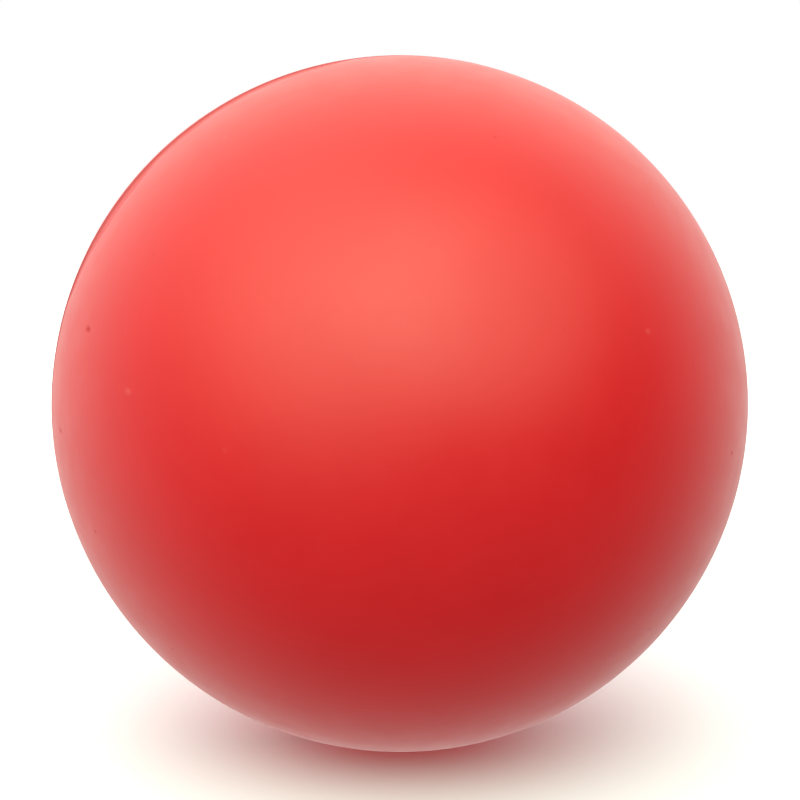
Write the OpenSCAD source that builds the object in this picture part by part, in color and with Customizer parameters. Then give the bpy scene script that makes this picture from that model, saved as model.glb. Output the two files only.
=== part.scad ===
// Foam dodgeball: a moulded polyurethane foam core inside a two-part elastomer skin.
// The skin is sprayed into the two halves of a round mould and the mould is shut. The foam
// is shot in at the rear pole and fills the ball, and the air leaves by vents round the gate.
// Out of the mould, the flash along the parting line is trimmed into a shallow recess, and
// the foam that stands out of the gate and the vents is cut back into round ones. The
// skin's own elastomer is brushed into the recesses, as a seam band and as seals.
// Origin at the centre of the ball, +Z up. The mould axis is Y: the front half of the skin
// faces -Y, and the rear half, with the gate and the vents, faces +Y. Millimetres.

/* [Ball] */
// Outside diameter over the skin
ball_d = 178; // [150:1:220]
// Thickness of the skin
skin_t = 1; // [0.8:0.1:2]
// Bond line between the skin and the foam
skin_bond = 0.1; // [0.05:0.05:0.3]

/* [Parting line] */
// Width of the recess along the parting line
seam_w = 4; // [3:0.5:6]
// Depth of that recess
seam_recess = 0.4; // [0.3:0.05:0.7]
// How far the seam band stands proud of the skin
seam_proud = 0.1; // [0.02:0.01:0.2]

/* [Gate] */
// Diameter of the gate
gate_d = 8; // [5:0.5:10]
// Diameter of the seal over the gate
gate_seal_d = 14; // [12:0.5:18]
// Depth of the recess that the seal fills
gate_recess = 0.5; // [0.3:0.05:0.7]

/* [Vents] */
// Number of vents round the gate
vent_count = 4; // [3:1:8]
// Diameter of a vent
vent_d = 2; // [1:0.5:2.5]
// Diameter of the circle that the vents stand on
vent_circle_d = 60; // [50:1:80]
// Diameter of the seal over a vent
vent_seal_d = 5; // [4:0.5:7]
// Depth of the recess that a vent's seal fills
vent_recess = 0.4; // [0.3:0.05:0.7]

/* [Fills] */
// How far a seal stands proud of the skin
seal_proud = 0.06; // [0.02:0.01:0.15]
// Bond line under the seam band and the seals
floor_bond = 0.04; // [0.02:0.01:0.08]
// Bond line between them and the walls of their recesses
wall_bond = 0.1; // [0.05:0.05:0.2]
// Gap between a stub of foam and the hole that it fills
stub_gap = 0.1; // [0.05:0.05:0.2]

/* [Hidden] */
$fn = 256;

// How far a cut runs past the surface that it opens
cut = 1;

ball_r = ball_d / 2;
skin_inner_r = ball_r - skin_t;
core_r = skin_inner_r - skin_bond;
vent_angle = asin(vent_circle_d / ball_d); // from the rear pole

skin_red = [0.86, 0.20, 0.18];
brushed_red = [0.80, 0.15, 0.14];
foam_cream = [0.94, 0.90, 0.79];

// Turns the mould axis, which is drawn along Z, to Y with the gate at the rear
module on_mould_axis() {
    rotate([-90, 0, 0]) children();
}

// Repeats its children at each vent, with Z along the vent
module at_vents() {
    for (i = [0:vent_count - 1])
        rotate([0, vent_angle, (i + 0.5) * 360 / vent_count]) children();
}

// Section of what lies between two radii of the ball
module ring(inner_r, outer_r) {
    difference() {
        circle(r = outer_r);
        circle(r = inner_r);
    }
}

// A round piece at the pole that lies between two radii and follows the ball's curve
module cap(d, inner_r, outer_r) {
    rotate_extrude()
        intersection() {
            ring(inner_r, outer_r);
            square([d / 2, ball_d]);
        }
}

// Section of a strip along the parting line that lies between two radii
module strip(w, inner_r, outer_r) {
    intersection() {
        ring(inner_r, outer_r);
        translate([0, -w / 2]) square([ball_d, w]);
    }
}

// One half of the skin, on the +Z side of the parting plane
module half_skin() {
    rotate_extrude()
        difference() {
            intersection() {
                ring(skin_inner_r, ball_r);
                square(ball_d);
            }
            strip(seam_w, ball_r - seam_recess, ball_r + cut);
        }
}

// What a hole and the recess of its seal take out of the skin
module sealed_hole(hole_d, seal_d, recess) {
    cap(hole_d, skin_inner_r - cut, ball_r);
    cap(seal_d, ball_r - recess, ball_r + cut);
}

// The foam that fills a hole, cut back to the floor of the recess
module stub(hole_d, recess) {
    cap(hole_d - 2 * stub_gap, core_r - cut, ball_r - recess);
}

// The seal that fills a recess
module seal(seal_d, recess) {
    cap(seal_d - 2 * wall_bond, ball_r - recess + floor_bond, ball_r + seal_proud);
}

module front_skin() {
    color(skin_red) on_mould_axis() mirror([0, 0, 1]) half_skin();
}

module rear_skin() {
    color(skin_red) on_mould_axis()
        difference() {
            half_skin();
            sealed_hole(gate_d, gate_seal_d, gate_recess);
            at_vents() sealed_hole(vent_d, vent_seal_d, vent_recess);
        }
}

module seam_band() {
    color(brushed_red) on_mould_axis()
        rotate_extrude()
            strip(seam_w - 2 * wall_bond, ball_r - seam_recess + floor_bond, ball_r + seam_proud);
}

module foam_core() {
    color(foam_cream) on_mould_axis() {
        sphere(r = core_r);
        stub(gate_d, gate_recess);
        at_vents() stub(vent_d, vent_recess);
    }
}

module gate_seal() {
    color(brushed_red) on_mould_axis() seal(gate_seal_d, gate_recess);
}

module vent_seals() {
    color(brushed_red) on_mould_axis() at_vents() seal(vent_seal_d, vent_recess);
}

front_skin();
rear_skin();
seam_band();
foam_core();
gate_seal();
vent_seals();
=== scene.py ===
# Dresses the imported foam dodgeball: two halves of sprayed skin, the brushed band over the
# parting line, the brushed seals over the gate and the vents, and the foam inside.
# Metres, +Z up. The mould axis is Y: the front of the ball faces -Y, the gate faces +Y.
import math

import bpy
import numpy as np
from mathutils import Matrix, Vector


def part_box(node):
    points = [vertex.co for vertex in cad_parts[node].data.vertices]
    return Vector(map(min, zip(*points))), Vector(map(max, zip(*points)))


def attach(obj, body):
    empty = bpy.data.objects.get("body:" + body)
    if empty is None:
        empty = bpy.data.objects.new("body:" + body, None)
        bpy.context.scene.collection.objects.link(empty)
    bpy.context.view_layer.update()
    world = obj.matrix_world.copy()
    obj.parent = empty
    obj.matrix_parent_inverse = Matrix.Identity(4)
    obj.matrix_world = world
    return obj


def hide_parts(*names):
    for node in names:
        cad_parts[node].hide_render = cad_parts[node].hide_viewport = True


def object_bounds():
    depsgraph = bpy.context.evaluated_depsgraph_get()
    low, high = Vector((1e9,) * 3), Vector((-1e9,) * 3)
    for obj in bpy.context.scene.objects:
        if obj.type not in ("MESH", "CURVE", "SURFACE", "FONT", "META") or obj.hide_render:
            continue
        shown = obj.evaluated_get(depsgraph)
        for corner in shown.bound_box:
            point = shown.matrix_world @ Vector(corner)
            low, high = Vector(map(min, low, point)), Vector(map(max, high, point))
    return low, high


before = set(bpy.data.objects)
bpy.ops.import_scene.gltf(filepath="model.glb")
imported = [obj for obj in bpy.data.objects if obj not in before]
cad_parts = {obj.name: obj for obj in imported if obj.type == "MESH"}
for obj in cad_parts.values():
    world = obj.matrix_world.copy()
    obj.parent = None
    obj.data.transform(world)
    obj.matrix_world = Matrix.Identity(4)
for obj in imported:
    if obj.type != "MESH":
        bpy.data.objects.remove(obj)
cadLow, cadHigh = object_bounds()
mm = 0.001
ballRadius = -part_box("front_skin")[0][1]  # over the skin
mouldAxis = np.array([0.0, 1.0, 0.0])  # from the front to the gate
verticalAxis = np.array([0.0, 0.0, 1.0])
placeOfY, placeOfZ = 1, 2  # in a point
print(f"frame: {len(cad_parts)} nodes, ball {2 * ballRadius / mm:.0f} mm across")


# Shapes: every surface is a grid of rows and columns, worked out as whole arrays

noiseHeights = 4096  # random heights that the noise has to choose from
cornerFactors = np.array([73856093, 19349663, 83492791])  # big primes, so the choice is mixed


def ease(t):
    # 3t^2 - 2t^3, held at 0 below 0 and at 1 above 1
    t = np.clip(t, 0, 1)
    return t * t * (3 - 2 * t)


def unit(v):
    # v / |v| along the last axis
    return v / np.linalg.norm(v, axis=-1, keepdims=True)


def towards(azimuth, elevation):
    # (sin a cos e, -cos a cos e, sin e): azimuth 0 is the front of the ball, 90 its right side
    a, e = np.radians(azimuth), np.radians(elevation)
    return np.array([np.sin(a) * np.cos(e), -np.cos(a) * np.cos(e), np.sin(e)])


def lumps(points, size, seed):
    # Value noise from -1 to 1: a random height at each corner of a lattice of that cell size,
    # blended across the cell by 3t^2 - 2t^3 in x, y and z
    heights = np.random.default_rng(seed).uniform(-1, 1, noiseHeights)
    cell = points / size
    corner = np.floor(cell).astype(np.int64)
    t = ease(cell - corner)
    total = 0
    for i in range(8):
        step = np.array([i & 1, i >> 1 & 1, i >> 2])
        place = (corner + step) @ cornerFactors
        total = total + np.prod(np.where(step, t, 1 - t), axis=-1) * heights[place % noiseHeights]
    return total


def allRound(count):
    # Angles 2 pi i / count, for i from 0 to count - 1
    return np.arange(count) * 2 * np.pi / count


def onRing(f):
    # (cos f, 0, sin f)
    return np.stack([np.cos(f), 0 * f, np.sin(f)], axis=-1)


def ringAbout(direction, f):
    # cos f side + sin f rise, where side is along direction x Z and rise is side x direction
    side = unit(np.cross(direction, verticalAxis))
    rise = np.cross(side, direction)
    return np.cos(f)[:, None] * side + np.sin(f)[:, None] * rise


def otherLeg(radius, leg):
    # sqrt(radius^2 - leg^2): how far off its axis a sphere is where it is leg along it, or how far
    # along it where it is leg off it
    return math.sqrt(radius ** 2 - leg ** 2)


def degreesAt(radius, along):
    # acos(along / radius): how far from its pole a sphere is, at that distance along the axis
    return math.degrees(math.acos(along / radius))


def arc(radius, start, end, count):
    # (radius sin a, radius cos a): how far off the axis and how far along it, a in degrees
    a = np.radians(np.linspace(start, end, count))
    return np.stack([radius * np.sin(a), radius * np.cos(a)], axis=-1)


def carryRound(profile, columns):
    # (off cos f, along, off sin f) for each point of the profile and each angle f round Y
    f = allRound(columns)
    off, along = profile[:, :1], profile[:, 1:]
    return np.stack([off * np.cos(f), along + 0 * f, off * np.sin(f)], axis=-1)


def ringFaces(rows, columns, loop=False, firstPole=None, lastPole=None):
    # Quads (i, j) (i, j+1) (i+1, j+1) (i+1, j) on columns that close round, on to the first
    # row again where the rows are a loop, and a fan of triangles to each pole
    i, j = np.meshgrid(np.arange(rows if loop else rows - 1), np.arange(columns), indexing="ij")
    below, beside = (i + 1) % rows, (j + 1) % columns
    quads = np.stack([i * columns + j, i * columns + beside,
                      below * columns + beside, below * columns + j], axis=-1).reshape(-1, 4)
    faces = [quads]
    j = np.arange(columns)
    if firstPole is not None:
        faces.append(np.stack([j * 0 + firstPole, (j + 1) % columns, j], axis=-1))
    if lastPole is not None:
        start = (rows - 1) * columns
        faces.append(np.stack([j * 0 + lastPole, start + j, start + (j + 1) % columns], axis=-1))
    return faces


def insideOut(points, faces):
    # Sum of a . (b x c) / 6 over the triangles, which is negative where the faces point inwards
    volume = 0
    for f in faces:
        a, b, c = points[f[:, 0]], points[f[:, 1:-1]], points[f[:, 2:]]
        volume += np.einsum("ik,ijk->", a, np.cross(b, c)) / 6
    return volume < 0


def fillMesh(name, points, faces, attributes=None):
    # One mesh from arrays of points and faces, smooth, with a value per point for each attribute
    if insideOut(points, faces):
        faces = [f[:, ::-1] for f in faces]
    corners = np.concatenate([f.ravel() for f in faces])
    sizes = np.concatenate([np.full(len(f), f.shape[1]) for f in faces])
    mesh = bpy.data.meshes.new(name)
    mesh.vertices.add(len(points))
    mesh.vertices.foreach_set("co", points.astype(np.float32).ravel())
    mesh.loops.add(len(corners))
    mesh.loops.foreach_set("vertex_index", corners.astype(np.int32))
    mesh.polygons.add(len(sizes))
    mesh.polygons.foreach_set("loop_start", (np.cumsum(sizes) - sizes).astype(np.int32))
    mesh.polygons.foreach_set("use_smooth", np.ones(len(sizes), bool))
    mesh.update(calc_edges=True)
    for label, values in (attributes or {}).items():
        layer = mesh.attributes.new(label, "FLOAT", "POINT")
        layer.data.foreach_set("value", values.astype(np.float32).ravel())
    mesh.validate()
    return mesh


def addPiece(name, mesh, material, node):
    # Puts the mesh in the scene at the origin, where it stands for its CAD node
    piece = bpy.data.objects.new(name, mesh)
    bpy.context.scene.collection.objects.link(piece)
    mesh.materials.append(material)
    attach(piece, "root")
    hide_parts(node)
    print(f"{name}: {len(mesh.vertices)} points, {len(mesh.polygons)} faces")
    return piece


# Materials

noiseSpan = (0.3, 0.7)  # most of what a noise node gives lies between these


def addNode(tree, kind, sockets=None, **settings):
    # A shader node with its settings, and its sockets linked or set
    made = tree.nodes.new("ShaderNode" + kind)
    for label, value in settings.items():
        setattr(made, label, value)
    for label, value in (sockets or {}).items():
        if isinstance(value, bpy.types.NodeSocket):
            tree.links.new(value, made.inputs[label])
        else:
            made.inputs[label].default_value = value
    return made


def newMaterial(name):
    # A node material with its Principled shader, and the piece's own coordinates in metres
    made = bpy.data.materials.new(name)
    made.use_nodes = True
    tree = made.node_tree
    place = addNode(tree, "TexCoord").outputs["Object"]
    return made, tree, tree.nodes["Principled BSDF"], place


def noise(tree, place, size, detail=2.0, rough=0.5):
    # Noise whose lumps are about that size in metres
    return addNode(tree, "TexNoise", {"Vector": place, "Scale": 1 / size, "Detail": detail,
                                      "Roughness": rough}).outputs["Fac"]


def spread(tree, value, low, high, start=0.0, end=1.0, way="LINEAR"):
    # low + (high - low) t, where t = (value - start) / (end - start) is held between 0 and 1, and
    # is 3t^2 - 2t^3 instead if the way is SMOOTHSTEP
    return addNode(tree, "MapRange", {"Value": value, "From Min": start, "From Max": end,
                                      "To Min": low, "To Max": high},
                   interpolation_type=way).outputs["Result"]


def reckon(tree, operation, *values):
    # The operation on its one, two or three values, each a number or a socket
    return addNode(tree, "Math", dict(enumerate(values)), operation=operation).outputs[0]


def blend(tree, share, one, two):
    # one (1 - share) + two share, for numbers
    return addNode(tree, "Mix", {0: share, 2: one, 3: two}, data_type="FLOAT").outputs[0]


def blendColours(tree, share, one, two):
    # one (1 - share) + two share, for colours
    return addNode(tree, "Mix", {0: share, 6: one, 7: two}, data_type="RGBA").outputs[2]


def bumps(tree, layers):
    # Adds up heights in metres, one bump node after the other
    normal = None
    for height, distance in layers:
        sockets = {"Height": height, "Distance": distance, "Strength": 1.0}
        if normal is not None:
            sockets["Normal"] = normal
        normal = addNode(tree, "Bump", sockets).outputs["Normal"]
    return normal


sprayedSkin = {
    "deepRed": (0.528, 0.0052, 0.0084, 1),
    "fullRed": (0.550, 0.0062, 0.0098, 1),
    # painted shade: the pin-holes' darker red stands in for the shade inside them
    "paintedPitShade": (0.38, 0.0020, 0.0025, 1),
    # painted highlight: the grains' paler red stands in for the glint on them
    "paintedGrainHighlight": (0.60, 0.0650, 0.0700, 1),
    "mottle": 22 * mm,  # size of a patch of deep or full red
    "roughness": (0.355, 0.395),
    "gloss": 7 * mm,  # size of a patch of low or high roughness
    "pitRoughness": 0.80,
    "peel": (1.6 * mm, 0.0035 * mm),  # size and height of the orange peel
    "grain": (0.35 * mm, 0.0012 * mm),  # size and height
}


def makeSkinMaterial():
    # A mottle of two reds. The attribute mark brings in the pit's painted shade, a darker red, and
    # its roughness as it goes from 0 to -1, and a painted highlight, a paler red, on the grains as it
    # goes from 0 to 1
    made, tree, shader, place = newMaterial("sprayedElastomer")
    s = sprayedSkin
    mark = addNode(tree, "Attribute", attribute_name="mark").outputs["Fac"]
    pit, grainHighlight = spread(tree, mark, 1, 0, -1, 0), spread(tree, mark, 0, 1)
    mottle = noise(tree, place, s["mottle"], detail=3.0, rough=0.55)
    red = blendColours(tree, spread(tree, mottle, 0, 1, *noiseSpan), s["deepRed"], s["fullRed"])
    # painted shade: a darker red in the pin-holes
    red = blendColours(tree, pit, red, s["paintedPitShade"])
    # painted highlight: a paler red on the grains of dried spray
    red = blendColours(tree, grainHighlight, red, s["paintedGrainHighlight"])
    tree.links.new(red, shader.inputs["Base Color"])
    dull = spread(tree, noise(tree, place, s["gloss"], detail=3.0), *s["roughness"], *noiseSpan)
    tree.links.new(blend(tree, pit, dull, s["pitRoughness"]), shader.inputs["Roughness"])
    peel = noise(tree, place, s["peel"][0], detail=1.0)
    grain = noise(tree, place, s["grain"][0], rough=0.6)
    tree.links.new(bumps(tree, [(peel, s["peel"][1]), (grain, s["grain"][1])]),
                   shader.inputs["Normal"])
    return made


brushedElastomer = {
    "skinRed": (0.539, 0.0057, 0.0091, 1),  # what shows through where the film runs out
    "bandRed": (0.36, 0.0040, 0.0058, 1),
    "sealRed": (0.46, 0.0048, 0.0072, 1),
    "skinRoughness": 0.40,
    "roughness": (0.60, 0.74),
    "shine": 0.24,
    "streak": (14 * mm, 0.22 * mm, 0.006 * mm),  # length, width and height of a brush mark
    "grain": (0.3 * mm, 0.0015 * mm),  # size and height
    "ragged": 1.3,  # how much the streaks break up the film's edge
    "covers": (0.05, 0.65),  # film values at which it starts to cover the skin, and does
}


def makeBrushedMaterial(name, across, red):
    # across is the place of the axis that the streaks are thin on. The film covers the skin by
    # film + ragged (streak - 0.5), as that goes from the first value of covers to the second
    made, tree, shader, place = newMaterial(name)
    s = brushedElastomer
    length, width, height = s["streak"]
    scale = [1 / length] * 3
    scale[across] = 1 / width
    drawn = addNode(tree, "Mapping", {"Vector": place, "Scale": scale}).outputs["Vector"]
    streak = noise(tree, drawn, 1.0, detail=3.0, rough=0.6)
    film = addNode(tree, "Attribute", attribute_name="film").outputs["Fac"]
    middle = 0.5 * s["ragged"]
    covered = spread(tree, reckon(tree, "MULTIPLY_ADD", streak, s["ragged"], film), 0, 1,
                     middle + s["covers"][0], middle + s["covers"][1])
    tree.links.new(blendColours(tree, covered, s["skinRed"], s[red]), shader.inputs["Base Color"])
    dull = spread(tree, streak, *s["roughness"], *noiseSpan)
    tree.links.new(blend(tree, covered, s["skinRoughness"], dull), shader.inputs["Roughness"])
    shader.inputs["Specular IOR Level"].default_value = s["shine"]
    grain = noise(tree, place, s["grain"][0])
    tree.links.new(bumps(tree, [(streak, height), (grain, s["grain"][1])]), shader.inputs["Normal"])
    return made


openFoam = {
    "wall": (0.86, 0.79, 0.58, 1),
    # painted shade: the hollows' darker colour stands in for the shade inside the cells
    "hollow": (0.52, 0.43, 0.26, 1),
    "cell": 0.9 * mm,
    "cellDepth": 0.16 * mm,
    "cellWall": (0.04, 0.32),  # distances from a cell's edge where its hollow starts and is full
    "tone": 12 * mm,  # size of a patch where the painted shade in the hollows is deeper or lighter, and the foam rougher or smoother
    "hollowShadeDepth": (0.55, 1.0),  # how deep the painted shade in the hollows is in the one and the other
    "roughness": (0.78, 0.95),
}


def makeFoamMaterial():
    # Light walls and hollows darkened by painted shade, by the distance from a cell's edge
    made, tree, shader, place = newMaterial("openCellFoam")
    s = openFoam
    cells = addNode(tree, "TexVoronoi", {"Vector": place, "Scale": 1 / s["cell"]},
                    feature="DISTANCE_TO_EDGE").outputs["Distance"]
    hollow = spread(tree, cells, 0, 1, *s["cellWall"])
    tone = noise(tree, place, s["tone"], detail=4.0)
    # painted shade in the cells' hollows, deeper in some patches than in others
    paintedShade = reckon(tree, "MULTIPLY", hollow, spread(tree, tone, *s["hollowShadeDepth"], *noiseSpan))
    tree.links.new(blendColours(tree, paintedShade, s["wall"], s["hollow"]), shader.inputs["Base Color"])
    tree.links.new(spread(tree, tone, *s["roughness"], *noiseSpan), shader.inputs["Roughness"])
    tree.links.new(bumps(tree, [(spread(tree, hollow, 1, 0), s["cellDepth"])]),
                   shader.inputs["Normal"])
    return made


skinMaterial = makeSkinMaterial()
bandMaterial = makeBrushedMaterial("brushedBand", placeOfY, "bandRed")
sealMaterial = makeBrushedMaterial("brushedSeal", placeOfZ, "sealRed")
foamMaterial = makeFoamMaterial()
print("materials: 4")


# Skin: two sprayed half shells that butt on the parting plane, recessed there for the band

skin = {
    "columns": 440,
    "frontRows": 150,
    "rearRows": 140,
    "floorRows": 4,
    "insideRows": 28,
    "innerRadius": ballRadius - 1 * mm,
    "gap": 0.004 * mm,  # from each half to the parting plane
    "recessHalf": 2 * mm,  # half the width of the recess along the parting line
    "recessRadius": ballRadius - 0.4 * mm,
    "lowOnWall": 0.9,  # how far down the recess's wall its last point is
    "gateRadius": 4 * mm,
    "gateRecess": (7 * mm, ballRadius - 0.5 * mm),  # its radius, and the radius of its floor
    "edge": 0.05 * mm,  # size of an edge that was trimmed
    "edgePoints": ((0.15, 0.4), (0.45, 0.1), (1.0, 0.0)),  # depth and distance off the wall, in edges
    "waves": ((34 * mm, 0.022 * mm), (11 * mm, 0.004 * mm)),  # size and depth of unevenness
    "calmAtBand": 6 * mm,  # the relief fades out over this much before the band's recess
    "calmAtGate": 4 * mm,  # and before the gate's
    "fullMark": 0.1,  # mm of relief at which a pit has all of its painted shade and a grain all of its painted highlight
    "finerAtMark": (0.6, 5 * mm),  # how much finer the grid is at a mark, and how far round it
}
# Azimuth, elevation, height and length on the ball in mm, and relief in mm, of each mark that
# shows on the front: pin-holes are negative, grains of dried spray positive
frontMarks = (
    (-70.4, 16.6, 1.6, 4.2, -0.13), (54.9, -3.5, 1.3, 1.9, -0.07), (-68.6, -15.2, 1.1, 1.9, -0.06),
    (16.0, 19.6, 0.9, 0.9, -0.05), (14.3, 53.1, 1.1, 1.2, -0.09), (24.1, 9.0, 0.8, 0.8, -0.05),
    (-57.9, 29.9, 0.8, 1.1, -0.07), (-59.7, -35.7, 0.8, 1.2, -0.07), (43.8, -32.4, 0.8, 1.1, -0.07),
    (32.1, 18.2, 2.0, 2.3, 0.045), (-55.3, 8.9, 2.1, 3.4, 0.06), (-36.1, 2.2, 1.8, 2.1, 0.022),
    (49.2, -19.0, 1.4, 1.8, 0.03), (-59.7, 52.1, 1.2, 1.6, 0.05), (-79.0, 19.9, 1.1, 2.4, 0.03),
    (-78.7, -0.6, 1.5, 5.0, -0.05),
)
# The same for the half that the camera doesn't see, as far from its edges as the front's are,
# each value drawn between two; longer is length over height
rearMarks = {
    "count": 14,
    "seed": 5,
    "azimuth": (112, 248),
    "elevation": (-52, 52),
    "height": (0.8, 1.5),
    "longer": (1, 1.5),
    "relief": (-0.14, 0.05),
}


def scatterMarks():
    # Draws the rear's marks
    r = rearMarks
    draw, count = np.random.default_rng(r["seed"]), r["count"]
    azimuth, elevation = draw.uniform(*r["azimuth"], count), draw.uniform(*r["elevation"], count)
    height, relief = draw.uniform(*r["height"], count), draw.uniform(*r["relief"], count)
    length = height * draw.uniform(*r["longer"], count)
    return tuple(zip(azimuth, elevation, height, length, relief))


def mirrored(marks):
    # The same marks with the front turned to +Y, where a half is shaped before it is turned
    return tuple((180 - azimuth, *rest) for azimuth, *rest in marks)


def drawGridIn(directions, marks):
    # Moves each direction d towards a mark m to m + (d - m)(1 - pull e^-(s/reach)^2), where s
    # is its distance on the ball, so the grid is finer at the mark
    pull, reach = skin["finerAtMark"]
    for mark in marks:
        middle = towards(*mark[:2])
        away = directions - middle
        s = np.linalg.norm(away, axis=-1, keepdims=True) * ballRadius
        directions = unit(middle + away * (1 - pull * np.exp(-(s / reach) ** 2)))
    return directions


def skinRelief(directions, marks):
    # Depth below the ball's radius: broad waves, each from 0 to its depth, and at each mark
    # relief (1 - ease(s)), where s is 1 on an oval of its height and length. Also how marked a
    # point is, from -1 in a pit of fullMark or more to 1 on a grain of that height: this brings in
    # the painted shade in the pits and the painted highlight on the grains
    depth = 0
    for n, (size, deep) in enumerate(skin["waves"]):
        depth = depth + deep * (0.5 + 0.5 * lumps(directions * ballRadius, size, seed=20 + n))
    mark = np.zeros(directions.shape[:-1])
    for azimuth, elevation, height, length, relief in marks:
        middle = towards(azimuth, elevation)
        away = (directions - middle) * 2 * ballRadius / mm
        level = away @ unit(np.cross(middle, verticalAxis))
        upright = np.sum(away ** 2, axis=-1) - level ** 2
        near = 1 - ease(np.sqrt(np.maximum(upright, 0) / height ** 2 + (level / length) ** 2))
        depth = depth - relief * mm * near
        mark = mark + near * np.clip(relief / skin["fullMark"], -1, 1)
    return depth, mark


def skinProfile(start, rows):
    # Off the axis and along it: from the pole, or from the gate's recess at angle start, over the
    # outside to the band's recess, down its wall, along its floor to the parting plane, back along
    # the inside, and up through the gate if there is one
    s = skin
    edge, half, recess, inner = s["edge"], s["recessHalf"], s["recessRadius"], s["innerRadius"]
    outside = arc(ballRadius, start, degreesAt(ballRadius, half + edge), rows)
    down = [(depth * edge, half + away * edge) for depth, away in s["edgePoints"]]
    down.append((s["lowOnWall"] * (ballRadius - recess), half))
    wall = np.array([(otherLeg(ballRadius - depth, along), along) for depth, along in down])
    floor = arc(recess, degreesAt(recess, half), degreesAt(recess, s["gap"]), s["floorRows"])
    inside = arc(inner, degreesAt(inner, s["gap"]), start, s["insideRows"])
    parts = [outside, wall, floor, inside]
    if start:
        hole, (wide, bottom) = s["gateRadius"], s["gateRecess"]
        inside[-1] = (hole, otherLeg(inner, hole))
        parts.append(np.array([(hole, otherLeg(bottom, hole)), (wide, otherLeg(bottom, wide)),
                               (wide, otherLeg(ballRadius - edge, wide))]))
    return np.concatenate(parts)


def halfSkin(name, side, marks, start, rows):
    # The profile carried round Y, its outside sunk by the relief, which is 0 at the recesses, and
    # the whole half turned to its side of the ball, -1 or 1
    s = skin
    profile = skinProfile(start, rows)
    onPole = profile[:, 0] == 0
    points = carryRound(profile[~onPole], s["columns"])
    count = rows - int(onPole[0])  # rows of the outside
    directions = drawGridIn(unit(points[:count]), marks)
    depth, mark = skinRelief(directions, marks)
    fromPole = np.arccos(np.clip(directions[..., placeOfY], -1, 1)) * ballRadius
    toRecess = math.radians(degreesAt(ballRadius, s["recessHalf"] + s["edge"])) * ballRadius
    share = ease((toRecess - fromPole) / s["calmAtBand"])
    if start:
        share = share * ease((fromPole - math.radians(start) * ballRadius) / s["calmAtGate"])
    points[:count] = directions * (ballRadius - depth * share)[..., None]
    marked = np.zeros(points.shape[:2])
    marked[:count] = mark * share
    poles, ends = np.zeros((0, 3)), {"loop": True}
    if onPole[0]:
        sunk = skinRelief(mouldAxis[None], marks)[0][0]
        poles = np.stack([mouldAxis * (ballRadius - sunk), mouldAxis * s["innerRadius"]])
        ends = {"firstPole": marked.size, "lastPole": marked.size + 1}
    faces = ringFaces(*marked.shape, **ends)
    points = np.concatenate([points.reshape(-1, 3), poles]) * np.array([1, side, 1])
    marked = np.concatenate([marked.ravel(), np.zeros(len(poles))])
    return fillMesh(name, points, faces, {"mark": marked})


addPiece("frontSkin", halfSkin("frontSkin", -1, mirrored(frontMarks), 0, skin["frontRows"]),
         skinMaterial, "front_skin")
gateAngle = math.degrees(math.asin((skin["gateRecess"][0] + skin["edge"]) / ballRadius))
addPiece("rearSkin", halfSkin("rearSkin", 1, scatterMarks(), gateAngle, skin["rearRows"]),
         skinMaterial, "rear_skin")


# Seam band: elastomer brushed into the recess, a little proud, with strokes that ran over its
# edges and left a thin film on the skin beside it

seamBand = {
    "columns": 1300,
    "across": 25,
    "filmRows": 6,
    "half": 2.10 * mm,  # half the width of its full thickness
    "waver": 0.10 * mm,  # how far that width wanders
    "wavers": ((0.11, 0.7), (0.03, 0.3)),  # size in ball radii and share of each wave of it
    "crown": 0.045 * mm,  # how far its middle stands proud
    "flatness": 2.6,  # power of s that the crown falls off with
    "brush": (0.28 * mm, 9 * mm, 0.008 * mm),  # width, length and height of a brush mark
    "film": 0.010 * mm,  # thickness of the film where it starts
    "sink": 0.004 * mm,  # how far the film's edge runs under the skin's surface
    "least": 0.25,  # mm that the film reaches where no stroke ran over
    "filmWaver": (0.045, 0.12),  # size in ball radii and share of the waver in its reach
    "thin": 0.55,  # the attribute film where the film starts; it is 1 on the band
    "tuck": (1.15, 0.03 * mm),  # its row under the skin: how many reaches out, and how deep
    "wall": ((1.97, 0.03), (1.93, 0.10), (1.90, 0.34)),  # mm off the middle and deep, in the recess
    "floor": 0.36,  # mm deep
}
# Angle from +X to +Z where a stroke ran over the front edge, half its length in degrees, and
# how far it reached in mm
frontStrokes = ((109, 11, 4.2), (126, 17, 4.5), (143, 12, 6.0), (152, 9, 3.9))
# The same for the others, drawn between two values; the reach is squared and times furthest
otherStrokes = {"angle": (0, 360), "length": (4, 14), "reach": (0.1, 1.0), "furthest": 1.6}


def scatterStrokes(count, seed, clear=(0, 0)):
    # More strokes all round, but none whose middle is at the clear angles
    draw, o = np.random.default_rng(seed), otherStrokes
    angle, length = draw.uniform(*o["angle"], count), draw.uniform(*o["length"], count)
    reach = draw.uniform(*o["reach"], count) ** 2 * o["furthest"]
    kept = (angle < clear[0]) | (angle > clear[1])
    return tuple(zip(angle[kept], length[kept], reach[kept]))


def bandHalf(ring, seed):
    # half + waver (share 1 noise 1 + share 2 noise 2)
    wander = sum(share * lumps(ring, size, seed + 5 * n)
                 for n, (size, share) in enumerate(seamBand["wavers"]))
    return seamBand["half"] + seamBand["waver"] * wander


def filmReach(f, strokes, seed):
    # How far the film goes beyond the band at angle f: the largest of least + far (1 - u^4) over
    # the strokes, where u goes from -1 to 1 along each and far is its reach, times 1 + noise
    least, (size, share) = seamBand["least"], seamBand["filmWaver"]
    degrees, reach = np.degrees(f), least + 0 * f
    for angle, length, far in strokes:
        u = np.clip(((degrees - angle + 180) % 360 - 180) / length, -1, 1)
        reach = np.maximum(reach, least + far * (1 - u ** 4))
    return reach * (1 + share * lumps(onRing(f), size, seed)) * mm


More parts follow.
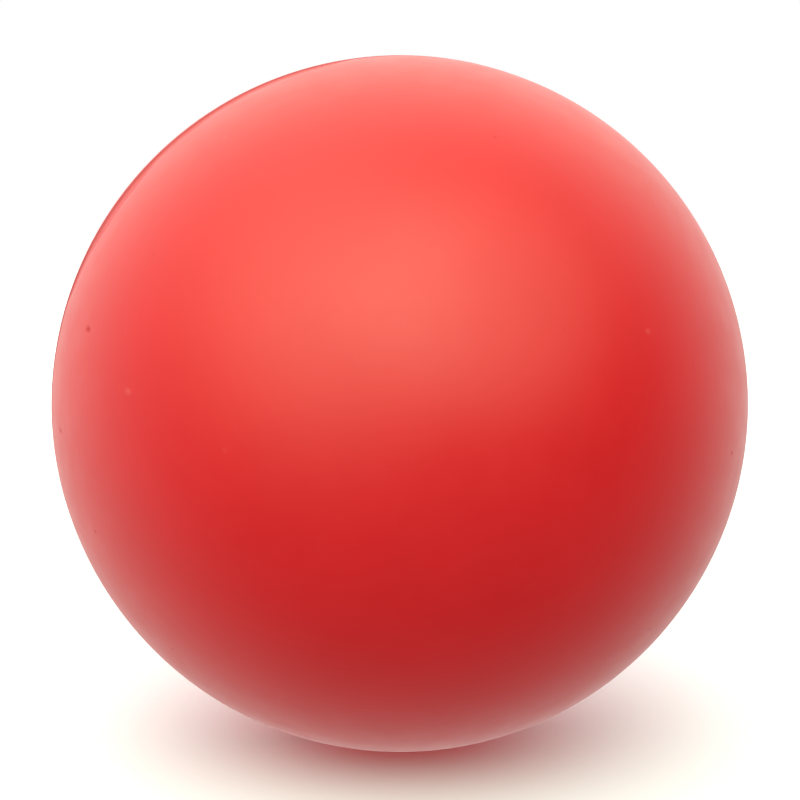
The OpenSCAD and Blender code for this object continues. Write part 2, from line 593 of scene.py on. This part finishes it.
def brushMarks(points, across, brush, thick, seed):
    # Value noise drawn out, in cells of the brush's width along one axis and its length along the
    # others, times its height and ease(3 thick), so the marks die out where thick goes to 0
    width, length, height = brush
    size = np.full(3, length)
    size[across] = width
    return lumps(points / size, 1.0, seed) * height * ease(3 * thick)


def bandMesh():
    # Section across the band at each angle f: y = s w(f), and radius R + film + (crown - film)
    # (1 - |s|^flatness) with brush marks on it, for s from -1 to 1; beyond it on each side the
    # film, R + film (1 - t^2) - sink t^2, for t from 0 to 1 over its reach, and one row on under
    # the skin; then back along the recess
    b = seamBand
    f = allRound(b["columns"])
    ring = onRing(f)
    half = [bandHalf(ring, seed=31), bandHalf(ring, seed=32)]
    frontMore = scatterStrokes(count=16, seed=33, clear=(85, 175))
    reach = [filmReach(f, frontStrokes + frontMore, seed=35),
             filmReach(f, scatterStrokes(count=24, seed=34), seed=36)]
    s = np.linspace(-1, 1, b["across"])[:, None]
    y = s * np.where(s < 0, half[0], half[1])
    thick = 1 - np.abs(s) ** b["flatness"]
    at = ring * ballRadius + y[..., None] * mouldAxis
    radius = (ballRadius + b["film"] + (b["crown"] - b["film"]) * thick
              + brushMarks(at, placeOfY, b["brush"], thick, seed=41))
    out, deep = b["tuck"]
    t = np.append(np.linspace(0, 1, b["filmRows"] + 1)[1:], out)[:, None]
    filmRadius = ballRadius + b["film"] * (1 - t ** 2) - b["sink"] * t ** 2 + 0 * f
    filmRadius[-1] = ballRadius - deep
    under = [*b["wall"], (0, b["floor"]), *((-off, depth) for off, depth in b["wall"][::-1])]
    under = np.array(under) * mm
    y = np.concatenate([(-half[0] - t * reach[0])[::-1], y, half[1] + t * reach[1],
                        under[:, :1] + 0 * f])
    radius = np.concatenate([filmRadius[::-1], radius, filmRadius,
                             ballRadius - under[:, 1:] + 0 * f])
    off = np.sqrt(radius ** 2 - y ** 2)
    points = np.stack([off * np.cos(f), y, off * np.sin(f)], axis=-1)
    filmThin = b["thin"] * (1 - ease(t)) + 0 * f
    filmBand = b["thin"] + (1 - b["thin"]) * ease(thick) + 0 * f
    film = np.concatenate([filmThin[::-1], filmBand, filmThin, np.ones((len(under), len(f)))])
    faces = ringFaces(len(y), b["columns"], loop=True)
    return fillMesh("seamBand", points.reshape(-1, 3), faces, {"film": film})


addPiece("seamBand", bandMesh(), bandMaterial, "seam_band")


# Seals: the same elastomer brushed into the round recesses over the gate and the vents

seals = {
    "gate": {"columns": 160, "rings": 34, "edge": 7.15 * mm, "wall": 6.9 * mm, "deep": 0.45 * mm},
    "vent": {"columns": 96, "rings": 16, "edge": 2.62 * mm, "wall": 2.4 * mm, "deep": 0.35 * mm},
    "waver": (0.55, 0.05),  # size and height of the waver in the outline, in radii of it
    "crown": 0.048 * mm,  # how far its middle stands proud
    "flatness": 4,  # power of t that the crown falls off with
    "brush": (0.32 * mm, 7 * mm, 0.008 * mm),  # width, length and height of a brush mark
    "sink": 0.004 * mm,  # how far its outline runs under the skin's surface
    "tuck": (1.02, 0.03 * mm),  # its ring under the skin: how many edges out, and how deep
    # In the recess: how many walls out, how deep, and how much of deep to add to that
    "under": ((1.02, 0.05 * mm, 0), (1.00, 0.10 * mm, 0), (1.00, 0, 0.97), (0.5, 0, 1)),
    "filmFades": (1.3, 3),  # strength and power of the attribute film towards the outline
}
ventOff = 0.2384  # sine of a vent's angle off the gate, across and up
ventDirections = [unit(np.array([x, math.sqrt(1 - 2 * ventOff ** 2), z]))
                  for x in (-ventOff, ventOff) for z in (-ventOff, ventOff)]


def sealPoints(direction, size, seed):
    # Rings t = 0..1 about the direction at t edge(f) from its middle, at radius
    # R - sink + (crown + sink)(1 - t^flatness) with brush marks on it; then one ring on under the
    # skin and back along the recess. The attribute film is ease(strength (1 - t^power)), and 1 in
    # the recess
    s = seals
    f = allRound(size["columns"])
    ring = ringAbout(direction, f)

    def pointed(angle):
        # cos angle direction + sin angle ring
        return np.cos(angle)[..., None] * direction + np.sin(angle)[..., None] * ring

    noiseSize, waver = s["waver"]
    edge = size["edge"] * (1 + waver * lumps(ring, noiseSize, seed))
    t = np.linspace(0, 1, size["rings"] + 1)[1:, None]
    angle = t * edge / ballRadius
    thick = 1 - t ** s["flatness"] + 0 * f
    radius = (ballRadius - s["sink"] + (s["crown"] + s["sink"]) * thick
              + brushMarks(pointed(angle) * ballRadius, placeOfZ, s["brush"], thick, seed + 7))
    out, deep = s["tuck"]
    walls, depth, more = np.array(s["under"]).T[..., None]
    angle = np.concatenate([angle, out * angle[-1:], walls * size["wall"] / ballRadius + 0 * f])
    radius = np.concatenate([radius, ballRadius - np.full((1, len(f)), deep),
                             ballRadius - (depth + more * size["deep"] + 0 * f)])
    grid = pointed(angle) * radius[..., None]
    poles = [direction * (ballRadius + s["crown"]), direction * (ballRadius - size["deep"])]
    points = np.concatenate([grid.reshape(-1, 3), np.stack(poles)])
    strength, power = s["filmFades"]
    film = np.ones(grid.shape[:2])
    film[:len(t)] = ease(strength * (1 - t ** power))
    return points, np.append(film, [1, 1]), grid.shape[:2]


def sealMesh(name, directions, size, seed):
    # One closed cap for each direction, all in one mesh
    allPoints, allFilm, allFaces, start = [], [], [], 0
    for n, direction in enumerate(directions):
        points, film, (rows, columns) = sealPoints(direction, size, seed + n)
        faces = ringFaces(rows, columns, False, rows * columns, rows * columns + 1)
        allFaces += [f + start for f in faces]
        allPoints.append(points)
        allFilm.append(film)
        start += len(points)
    return fillMesh(name, np.concatenate(allPoints), allFaces, {"film": np.concatenate(allFilm)})


addPiece("gateSeal", sealMesh("gateSeal", [mouldAxis], seals["gate"], seed=61),
         sealMaterial, "gate_seal")
addPiece("ventSeals", sealMesh("ventSeals", ventDirections, seals["vent"], seed=71),
         sealMaterial, "vent_seals")


# Foam core: fills the skin, with a trimmed stub in the gate and in each vent

foamCore = {
    "columns": 400,
    "rows": 225,
    "lastRow": 180 - 0.4,  # its angle from the gate
    "radius": ballRadius - 1.1 * mm,
    "gateStub": (3.9 * mm, ballRadius - 0.5 * mm),  # radius, and how far out it ends
    "gateEnd": (0.2, 0.4, 0.6, 0.8, 0.95),  # rings across its end, as shares of its radius
    "gateSide": (0.05 * mm, 0.3 * mm),  # and down its side, below its end
    "ventStub": (0.9 * mm, ballRadius - 0.4 * mm),
    "ventColumns": 32,
    "ventEnd": ((0.5, 0), (0.9, 0.01 * mm), (1, 0.05 * mm)),  # rings: share of it, and how far down
    "ventRoot": (0.5, 0.6 * mm),  # the last ring, the same, from the top of the ball of foam
    "torn": (2.4 * mm, 0.14 * mm),  # size and depth of the hollows in its surface
}


def stubPoints(direction, size):
    # A short round plug: rings out across its end, down its side and back across its root
    ring = ringAbout(direction, allRound(foamCore["ventColumns"]))
    (wide, out), (share, down) = size, foamCore["ventRoot"]
    root = foamCore["radius"] - down
    profile = [(t, out - d) for t, d in foamCore["ventEnd"]] + [(1, root), (share, root)]
    profile = np.array(profile)
    grid = profile[:, None, :1] * wide * ring + profile[:, None, 1:] * direction
    poles = np.stack([direction * out, direction * root])
    return np.concatenate([grid.reshape(-1, 3), poles]), grid.shape[:2]


def coreMesh():
    # Profile from the gate's stub over the ball to the front pole, carried round Y, then each
    # point drawn in by depth (0.5 + 0.5 noise), and a plug added for each vent
    c = foamCore
    wide, out = c["gateStub"]
    size, depth = c["torn"]
    foot = math.degrees(math.asin(wide / c["radius"]))
    profile = np.concatenate([[(t * wide, otherLeg(out, t * wide)) for t in c["gateEnd"]],
                              [(wide, otherLeg(out, wide) - down) for down in c["gateSide"]],
                              arc(c["radius"], foot, c["lastRow"], c["rows"])])
    grid = carryRound(profile, c["columns"])
    hollow = depth * (0.5 + 0.5 * lumps(grid, size, seed=81))
    grid = grid * (1 - hollow / c["radius"])[..., None]
    rows, columns = grid.shape[:2]
    points = [grid.reshape(-1, 3), np.stack([mouldAxis * (out - 0.5 * depth),
                                             mouldAxis * (0.5 * depth - c["radius"])])]
    faces = ringFaces(rows, columns, False, rows * columns, rows * columns + 1)
    start = rows * columns + 2
    for direction in ventDirections:
        plug, (rows, columns) = stubPoints(direction, c["ventStub"])
        points.append(plug)
        faces += [f + start for f in ringFaces(rows, columns, False, rows * columns,
                                               rows * columns + 1)]
        start += len(plug)
    return fillMesh("foamCore", np.concatenate(points), faces)


core = addPiece("foamCore", coreMesh(), foamMaterial, "foam_core")


# Studio: a plain pale floor, a tent of soft surroundings that is white behind the ball and dim in
# front of it, with two large glows above the camera and a faint one overhead, and the light that
# such a floor throws back

studio = {
    "floor": (0.80, 0.76, 0.90, 1),
    "floorRoughness": 0.9,
    "floorShine": 0.1,
    "floorRings": (0.1, 0.5, 2.0),
    "floorColumns": 128,
    "floorFades": (0.55, 1.60),  # distances between which it fades into the white behind
    "backdropLow": (0.99, 1.0, 0.93, 1),  # colours of the backdrop level with the ball
    "backdropHigh": (0.97, 1.0, 0.84, 1),  # and overhead
    "backdropTurns": (0.0, 0.8),  # heights on Z where the one starts and ends turning to the other
    "glow": (0.90, 1.06, 0.77),
    "bounce": (0.0, -88.0, 1.62),  # azimuth, elevation and strength of what it throws back
    "bounceAcross": 170.0,  # degrees of the sky that it comes from
}
# Surroundings that lighten from front to back: brightness, where on Y they start and reach
# their full brightness, and how much lighter they are upwards
backdrop = {"brightness": 1.345, "start": -0.488, "full": 0.798, "lighterUp": 0.398}
ceiling = {"brightness": 0.208, "start": 0.30, "full": 0.60}  # the same on Z
# Azimuth, elevation, angles where a glow starts to fade and is gone, and brightness
glows = ((-38.1, 41.3, 2.0, 65.9, 3.48), (24.6, 40.7, 24.0, 46.0, 1.79),
         (175.0, 78.0, 4.0, 42.0, 0.35))


def makeFloor():
    # A round floor under the ball that only the camera sees: d from the middle, it is there by
    # 1 - ease((d - near) / (far - near))
    f, z = allRound(studio["floorColumns"]), cadLow[2]
    rings = np.array(studio["floorRings"])[:, None]
    grid = np.stack([rings * np.cos(f), rings * np.sin(f), z + 0 * rings * f], axis=-1)
    points = np.concatenate([grid.reshape(-1, 3), [[0, 0, z]]])
    faces = ringFaces(len(rings), len(f), False, len(rings) * len(f))
    mesh = bpy.data.meshes.new("floor")
    mesh.from_pydata(points.tolist(), [], [face[::-1] for part in faces for face in part.tolist()])
    floor = bpy.data.objects.new("floor", mesh)
    bpy.context.scene.collection.objects.link(floor)
    floor.visible_diffuse = False
    floor.visible_glossy = False
    floor.visible_shadow = False
    made, tree, shader, place = newMaterial("palePaper")
    shader.inputs["Base Color"].default_value = studio["floor"]
    shader.inputs["Roughness"].default_value = studio["floorRoughness"]
    shader.inputs["Specular IOR Level"].default_value = studio["floorShine"]
    away = addNode(tree, "VectorMath", {0: place}, operation="LENGTH").outputs["Value"]
    gone = spread(tree, away, 0, 1, *studio["floorFades"], way="SMOOTHSTEP")
    clear = addNode(tree, "BsdfTransparent").outputs[0]
    both = addNode(tree, "MixShader", {0: gone, 1: shader.outputs[0], 2: clear}).outputs[0]
    tree.links.new(both, tree.nodes["Material Output"].inputs["Surface"])
    mesh.materials.append(made)


def makeSurroundings():
    # White to the camera. As light, the sum of a backdrop, b ease((y - start) / (full - start))
    # (1 + lighterUp z), a ceiling, the same on z without the last factor, and glows,
    # b (1 - ease((a - fade) / (gone - fade))) at angle a from each one's middle
    world = bpy.data.worlds.new("surroundings")
    bpy.context.scene.world = world
    world.use_nodes = True
    tree = world.node_tree
    ray = addNode(tree, "TexCoord").outputs["Generated"]
    part = addNode(tree, "SeparateXYZ", {"Vector": ray}).outputs

    def graded(value, low, high, start, end):
        return spread(tree, value, low, high, start, end, way="SMOOTHSTEP")

    def coloured(colour, value):
        # colour value
        return addNode(tree, "VectorMath", {0: colour, "Scale": value},
                       operation="SCALE").outputs[0]

    b, c = backdrop, ceiling
    behind = graded(part["Y"], 0, b["brightness"], b["start"], b["full"])
    lift = reckon(tree, "MULTIPLY_ADD", part["Z"], b["lighterUp"], 1.0)
    behind = reckon(tree, "MULTIPLY", behind, lift)
    above = graded(part["Z"], 0, c["brightness"], c["start"], c["full"])
    warm = 0.0
    for azimuth, elevation, fade, gone, brightness in glows:
        along = addNode(tree, "VectorMath", {0: ray, 1: tuple(towards(azimuth, elevation))},
                        operation="DOT_PRODUCT").outputs["Value"]
        glow = graded(reckon(tree, "ARCCOSINE", along), brightness, 0,
                      math.radians(fade), math.radians(gone))
        warm = reckon(tree, "ADD", glow, warm)
    tint = blendColours(tree, graded(part["Z"], 0, 1, *studio["backdropTurns"]),
                        studio["backdropLow"], studio["backdropHigh"])
    light = addNode(tree, "VectorMath", {0: coloured(tint, reckon(tree, "ADD", behind, above)),
                                         1: coloured(studio["glow"], warm)},
                    operation="ADD").outputs[0]
    toCamera = addNode(tree, "LightPath").outputs["Is Camera Ray"]
    tree.links.new(blendColours(tree, toCamera, light, (1, 1, 1, 1)),
                   tree.nodes["Background"].inputs["Color"])


def addAimed(name, data, azimuth, elevation, away=0.0):
    # A lamp or a camera on that side of the ball and that far away, facing its middle
    made = bpy.data.objects.new(name, data)
    bpy.context.scene.collection.objects.link(made)
    out = Vector(towards(azimuth, elevation))
    made.location = out * away
    made.rotation_euler = out.to_track_quat("Z", "Y").to_euler()
    return made


def makeBounce():
    # What the floor throws back, as one wide soft lamp from below
    azimuth, elevation, strength = studio["bounce"]
    lamp = bpy.data.lights.new("floorBounce", "SUN")
    lamp.angle = math.radians(studio["bounceAcross"])
    lamp.energy = strength
    bounce = addAimed("floorBounce", lamp, azimuth, elevation)
    bounce.visible_glossy = False
    bounce.visible_camera = False


camera = {
    "azimuth": -10.0,
    "elevation": 10.0,
    "lens": 100.0,
    "sensor": 36.0,
    "picture": 800,  # its width and height in pixels
    "ballAcross": 696.6,  # pixels of them that the ball fills
    "middle": (399.90, 403.67),  # where its middle is, from the left and from the top
}


def makeCamera():
    # Far enough off that the ball fills its pixels: d = R sqrt((lens picture / sensor / r)^2 + 1)
    c = camera
    wide, (x, y) = c["picture"], c["middle"]
    lens = bpy.data.cameras.new("camera")
    lens.lens = c["lens"]
    lens.sensor_width = c["sensor"]
    lens.shift_x = (wide / 2 - x) / wide
    lens.shift_y = (y - wide / 2) / wide
    ratio = c["lens"] * wide / c["sensor"] / (c["ballAcross"] / 2)
    away = ballRadius * math.sqrt(ratio ** 2 + 1)
    bpy.context.scene.camera = addAimed("camera", lens, c["azimuth"], c["elevation"], away)


makeFloor()
makeSurroundings()
makeBounce()
makeCamera()
bpy.context.scene.view_settings.view_transform = "Standard"
print("studio: floor, surroundings, bounce and the camera")
